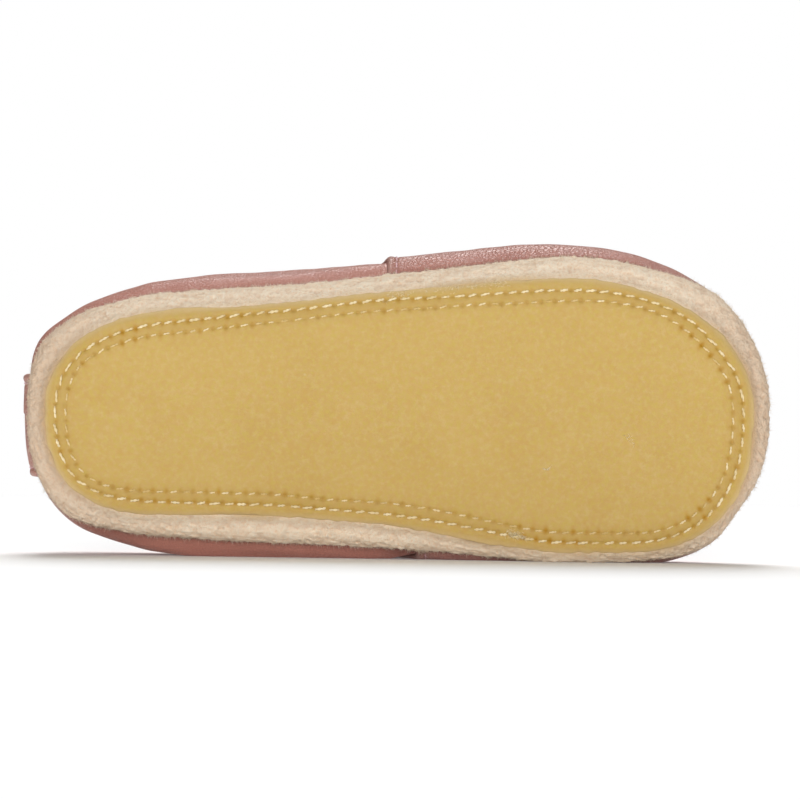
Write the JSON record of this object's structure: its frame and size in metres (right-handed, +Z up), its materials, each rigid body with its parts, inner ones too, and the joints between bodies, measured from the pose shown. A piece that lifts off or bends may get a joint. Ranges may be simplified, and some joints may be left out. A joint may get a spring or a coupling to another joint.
{
  "type": "house slipper",
  "caption": "Soft leather house slipper on its inner side, hollow and open at the collar, with a raw suede edge round a thin sewn rubber outsole.",
  "frame": {"origin": "on the floor, under the middle of the slipper's box", "axes": "+X from heel to toe, +Z up, the sole faces -Y; the slipper lies on its inner side"},
  "size_m": [0.1714, 0.0548, 0.0729],
  "materials": {
    "outsole": "matt natural rubber, honey coloured, slightly see-through",
    "suede_sole": "suede with a raw, fuzzy edge",
    "insole": "soft brushed lining leather",
    "upper": "smooth dusty rose leather, soft sheen",
    "vamp": "smooth dusty rose leather, soft sheen",
    "heel_patch": "smooth dusty rose leather, soft sheen"
  },
  "bodies": {
    "root": {"outsole": "outsole", "suede_sole": "suede_sole", "insole": "insole", "upper": "upper", "vamp": "vamp", "heel_patch": "heel_patch"}
  },
  "joints": []
}
